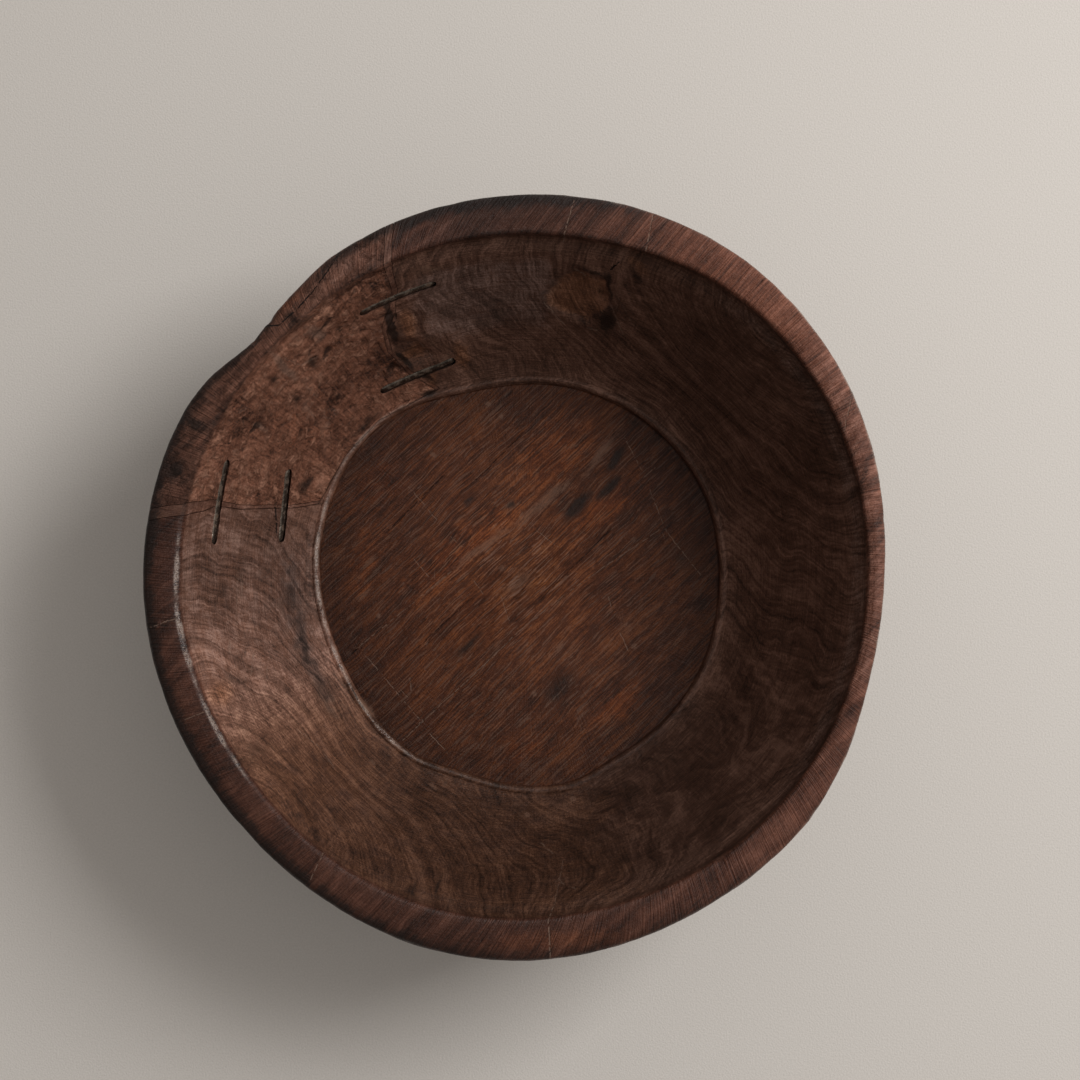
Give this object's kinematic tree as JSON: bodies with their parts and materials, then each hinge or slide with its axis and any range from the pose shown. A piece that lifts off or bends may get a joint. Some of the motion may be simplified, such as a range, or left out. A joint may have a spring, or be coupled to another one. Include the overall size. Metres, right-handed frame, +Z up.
{
  "type": "carved wooden bowl",
  "caption": "Hand-carved round wooden bowl with thick walls and a flat floor, its broken wall piece set back in place and held by iron staples.",
  "frame": {"origin": "centre of the flat foot, on the table", "axes": "+Z up through the mouth; +Y towards the top joint's side, so the mended wall piece lies between -X and +Y"},
  "size_m": [0.4021, 0.4153, 0.15],
  "materials": {
    "bowl_wood": "hand-carved dark reddish brown hardwood, worn to a soft satin sheen",
    "segment_wood": "rough knotty reddish brown hardwood, matt inside and satin on the rim",
    "filler_wood": "smooth light reddish brown filler, satin",
    "staple_iron": "dark forged iron, worn brighter at the bends"
  },
  "bodies": {
    "root": {"bowl_body": "bowl_wood", "wall_segment": "segment_wood", "left_joint_filler": "filler_wood", "top_joint_filler": "filler_wood", "left_joint_upper_staple": "staple_iron", "left_joint_lower_staple": "staple_iron", "top_joint_upper_staple": "staple_iron", "top_joint_lower_staple": "staple_iron"}
  },
  "joints": []
}
